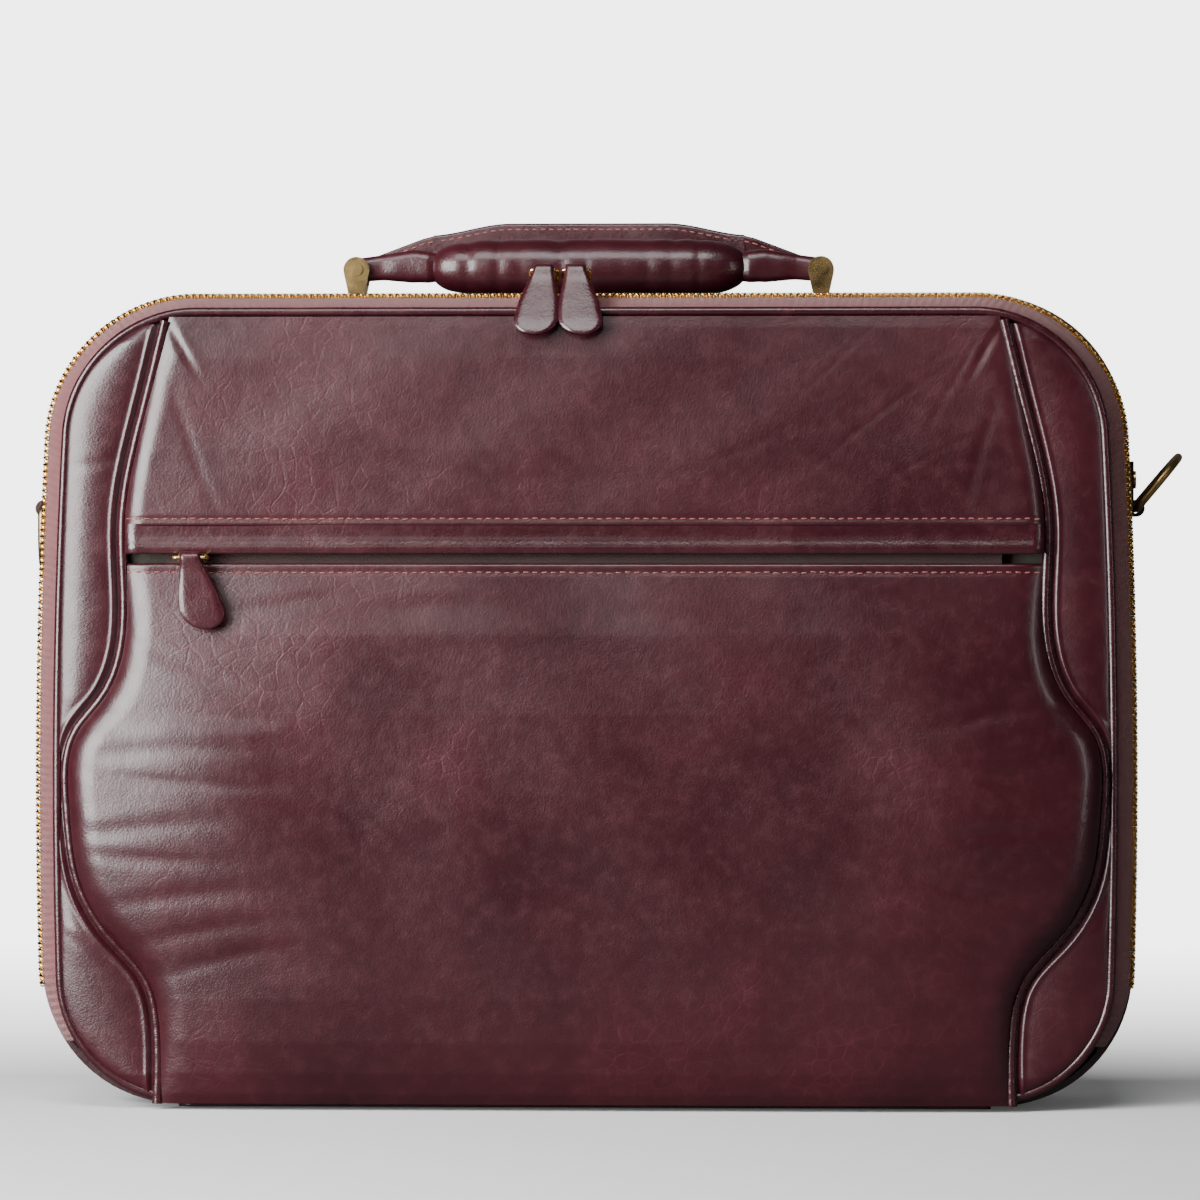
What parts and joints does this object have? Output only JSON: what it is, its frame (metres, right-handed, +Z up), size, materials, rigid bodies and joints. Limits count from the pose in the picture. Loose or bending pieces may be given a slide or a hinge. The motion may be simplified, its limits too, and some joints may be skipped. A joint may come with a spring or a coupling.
{
  "type": "leather laptop briefcase",
  "caption": "Zipped oxblood leather laptop briefcase with a padded carrying handle, a front zip pocket, piped edges, brass rings and leather pulls.",
  "frame": {"origin": "on the base, under the middle of the width; the depth zero is in the case body just behind the zip", "axes": "+X along the width to the viewer's right, -Y towards the front pocket, +Z up"},
  "size_m": [0.4419, 0.0904, 0.338],
  "materials": {
    "leather_oxblood": "smooth glazed oxblood leather with a soft shine",
    "lining_fabric": "plain dark woven cotton lining",
    "zip_tape": "dusty rose herringbone woven tape",
    "brass": "polished pale gold brass",
    "antique_brass": "darkened antique brass",
    "steel": "plain zinc plated steel",
    "stiff_board": "grey pressed stiffening board",
    "foam_padding": "padded dark woven cotton over foam"
  },
  "bodies": {
    "case": {"rear_panel": "leather_oxblood", "rear_board": "stiff_board", "case_lining": "lining_fabric", "rear_piping": "leather_oxblood", "gusset": "leather_oxblood", "bottom_board": "stiff_board", "handle_backing_bar": "steel", "zip_tape_rear": "zip_tape", "zip_teeth_rear": "brass", "zip_end_tab_left": "leather_oxblood", "zip_end_tab_right": "leather_oxblood", "hinge_band": "leather_oxblood", "laptop_padding": "foam_padding", "laptop_divider": "foam_padding", "handle_post_left": "brass", "handle_post_right": "brass", "handle_post_screws": "steel", "post_pin_left": "brass", "post_pin_right": "brass", "strap_tab_left": "leather_oxblood", "strap_tab_right": "leather_oxblood", "strap_tab_rivets": "brass"},
    "grip": {"grip_cover": "leather_oxblood", "grip_core": "stiff_board", "grip_welt": "leather_oxblood"},
    "tab_left": {"handle_tab_left": "leather_oxblood"},
    "tab_right": {"handle_tab_right": "leather_oxblood"},
    "lid": {"front_board": "stiff_board", "front_piping": "leather_oxblood", "lid_lining": "lining_fabric", "lid_hinge_strip": "leather_oxblood", "organiser_pocket": "lining_fabric", "zip_tape_front": "zip_tape", "zip_teeth_front": "brass", "pocket_upper_panel": "leather_oxblood", "pocket_flap": "leather_oxblood", "pocket_lower_panel": "leather_oxblood", "side_panel_left": "leather_oxblood", "side_panel_right": "leather_oxblood", "pocket_piping_left": "leather_oxblood", "pocket_piping_right": "leather_oxblood", "pocket_zip_tape": "zip_tape", "pocket_zip_teeth": "brass", "pocket_lining": "lining_fabric"},
    "main_slider_left_body": {"main_slider_left": "brass"},
    "main_ring_left_body": {"main_ring_left": "brass"},
    "main_slider_right_body": {"main_slider_right": "brass"},
    "main_ring_right_body": {"main_ring_right": "brass"},
    "pocket_slider_body": {"pocket_slider": "brass"},
    "pocket_ring_body": {"pocket_ring": "brass"},
    "main_pull_left_body": {"main_pull_left": "leather_oxblood"},
    "main_pull_right_body": {"main_pull_right": "leather_oxblood"},
    "pocket_pull_body": {"pocket_pull": "leather_oxblood"},
    "d_ring_left_body": {"d_ring_left": "antique_brass"},
    "d_ring_right_body": {"d_ring_right": "antique_brass"}
  },
  "joints": [
    {"name": "lid_open", "type": "hinge", "parent": "case", "child": "lid", "pos_m": [0, -0.0245, 0.0007], "axis": [1, 0, 0], "range_deg": [0, 105]},
    {"name": "handle_lift", "type": "slide", "parent": "case", "child": "grip", "axis": [0, 0, 1], "range_m": [0, 0.012]},
    {"name": "handle_tab_left_turn", "type": "hinge", "parent": "case", "child": "tab_left", "pos_m": [-0.0895, 0.012, 0.32], "axis": [0, -1, 0], "range_deg": [0, 23.14]},
    {"name": "handle_tab_right_turn", "type": "hinge", "parent": "case", "child": "tab_right", "pos_m": [0.0895, 0.012, 0.32], "axis": [0, 1, 0], "range_deg": [0, 23.14]},
    {"name": "main_slider_left_run", "type": "slide", "parent": "lid", "child": "main_slider_left_body", "axis": [1, 0, 0], "range_m": [-0.125, 0]},
    {"name": "main_ring_left_tilt", "type": "hinge", "parent": "main_slider_left_body", "child": "main_ring_left_body", "pos_m": [-0.0154, -0.024, 0.3138], "axis": [1, 0, 0], "range_deg": [-50, 0]},
    {"name": "main_pull_left_swing", "type": "hinge", "parent": "main_ring_left_body", "child": "main_pull_left_body", "pos_m": [-0.0154, -0.02936, 0.3183], "axis": [1, 0, 0], "range_deg": [-90, 0]},
    {"name": "main_slider_right_run", "type": "slide", "parent": "lid", "child": "main_slider_right_body", "axis": [1, 0, 0], "range_m": [0, 0.138]},
    {"name": "main_ring_right_tilt", "type": "hinge", "parent": "main_slider_right_body", "child": "main_ring_right_body", "pos_m": [-0.0032, -0.024, 0.3138], "axis": [1, 0, 0], "range_deg": [-50, 0]},
    {"name": "main_pull_right_swing", "type": "hinge", "parent": "main_ring_right_body", "child": "main_pull_right_body", "pos_m": [-0.0032, -0.02936, 0.3183], "axis": [1, 0, 0], "range_deg": [-90, 0]},
    {"name": "pocket_slider_run", "type": "slide", "parent": "lid", "child": "pocket_slider_body", "axis": [1, 0, 0], "range_m": [0, 0.296]},
    {"name": "pocket_ring_tilt", "type": "hinge", "parent": "pocket_slider_body", "child": "pocket_ring_body", "pos_m": [-0.148, -0.0416, 0.2092], "axis": [1, 0, 0], "range_deg": [-35, 0]},
    {"name": "pocket_pull_swing", "type": "hinge", "parent": "pocket_ring_body", "child": "pocket_pull_body", "pos_m": [-0.148, -0.048, 0.2092], "axis": [1, 0, 0], "range_deg": [-110, 0]},
    {"name": "d_ring_left_swing", "type": "hinge", "parent": "case", "child": "d_ring_left_body", "pos_m": [-0.21029, 0.012, 0.22801], "axis": [0, 1, 0], "range_deg": [0, 165]},
    {"name": "d_ring_right_swing", "type": "hinge", "parent": "case", "child": "d_ring_right_body", "pos_m": [0.21029, 0.012, 0.22801], "axis": [0, 1, 0], "range_deg": [-25, 140]}
  ],
  "couplings": [
    {"joint": "handle_tab_left_turn", "follows": "handle_lift", "rad_per_m": 32.788},
    {"joint": "handle_tab_right_turn", "follows": "handle_lift", "rad_per_m": 32.788}
  ]
}
